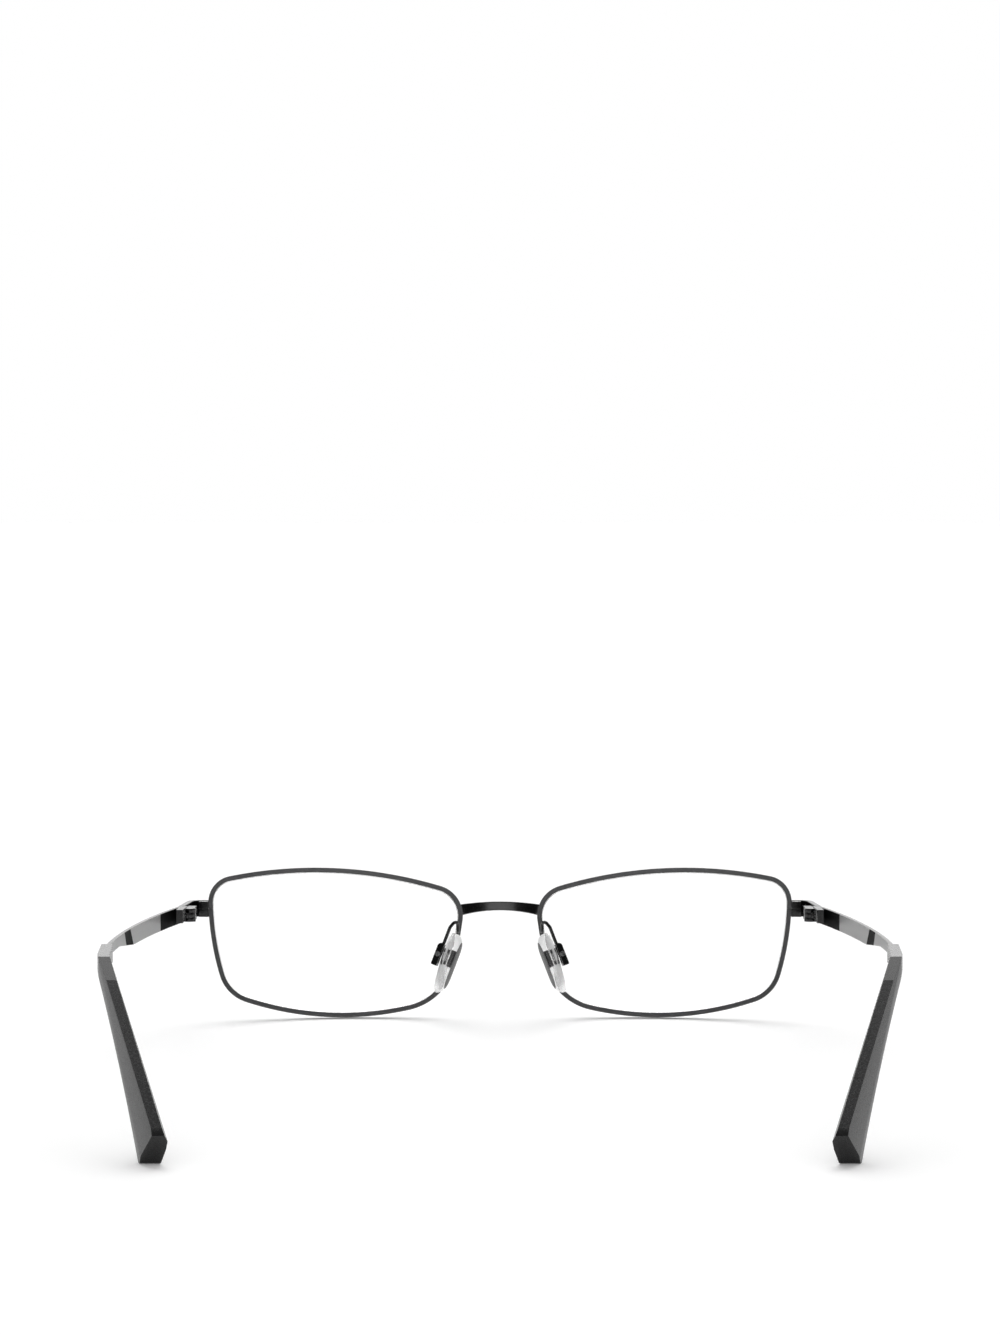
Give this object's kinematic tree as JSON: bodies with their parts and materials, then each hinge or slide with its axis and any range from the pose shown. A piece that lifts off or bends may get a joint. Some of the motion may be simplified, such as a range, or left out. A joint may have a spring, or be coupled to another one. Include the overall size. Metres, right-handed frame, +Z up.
{
  "type": "rectangular eyeglasses",
  "caption": "Full-rim rectangular metal eyeglasses with clear lenses, nose pads on wire arms and temples that fold on hinges.",
  "frame": {"origin": "centre of the bounding box in plan, on the surface that the frame stands on", "axes": "+X to the wearer's left, +Y from the lenses back towards the temple tips, +Z up, standing on the rims and the tips"},
  "size_m": [0.1482, 0.1546, 0.0321],
  "materials": {
    "rim_metal": "satin gunmetal enamel on the rims",
    "black_metal": "glossy black enamel",
    "temple_metal": "satin steel with black enamel beside the hinge and one black band",
    "tip_plastic": "satin charcoal moulded plastic",
    "lens_clear": "clear polished lens",
    "pad_silicone": "clear silicone",
    "insert_plastic": "clear moulded insert",
    "plate_metal": "dark plate moulded into the pad",
    "screw_steel": "dark steel screw"
  },
  "bodies": {
    "front": {"bridge": "black_metal", "rim_left": "rim_metal", "lens_left": "lens_clear", "endpiece_left": "black_metal", "rim_lock_upper_left": "black_metal", "rim_lock_lower_left": "black_metal", "rim_screw_left": "screw_steel", "front_hinge_left": "black_metal", "hinge_screw_left": "screw_steel", "pad_arm_left": "black_metal", "pad_box_left": "black_metal", "pad_screw_left": "screw_steel", "rim_right": "rim_metal", "lens_right": "lens_clear", "endpiece_right": "black_metal", "rim_lock_upper_right": "black_metal", "rim_lock_lower_right": "black_metal", "rim_screw_right": "screw_steel", "front_hinge_right": "black_metal", "hinge_screw_right": "screw_steel", "pad_arm_right": "black_metal", "pad_box_right": "black_metal", "pad_screw_right": "screw_steel"},
    "left_temple": {"temple_hinge_left": "black_metal", "temple_left": "temple_metal", "temple_tip_left": "tip_plastic"},
    "right_temple": {"temple_hinge_right": "black_metal", "temple_right": "temple_metal", "temple_tip_right": "tip_plastic"},
    "left_pad": {"pad_insert_left": "insert_plastic", "pad_plate_left": "plate_metal", "nose_pad_left": "pad_silicone"},
    "right_pad": {"pad_insert_right": "insert_plastic", "pad_plate_right": "plate_metal", "nose_pad_right": "pad_silicone"}
  },
  "joints": [
    {"name": "left_temple_fold", "type": "hinge", "parent": "front", "child": "left_temple", "pos_m": [0.06547, -0.05485, 0.0247], "axis": [0, -0.0553, 0.9985], "range_deg": [0, 90]},
    {"name": "right_temple_fold", "type": "hinge", "parent": "front", "child": "right_temple", "pos_m": [-0.06547, -0.05485, 0.0247], "axis": [0, 0.0553, -0.9985], "range_deg": [0, 80]},
    {"name": "left_pad_rock", "type": "hinge", "parent": "front", "child": "left_pad", "pos_m": [0.01327, -0.06763, 0.01433], "axis": [-0.1621, -0.9541, -0.2518], "range_deg": [-4, 4]},
    {"name": "right_pad_rock", "type": "hinge", "parent": "front", "child": "right_pad", "pos_m": [-0.01327, -0.06763, 0.01433], "axis": [0.1621, -0.9541, -0.2518], "range_deg": [-4, 4]}
  ]
}
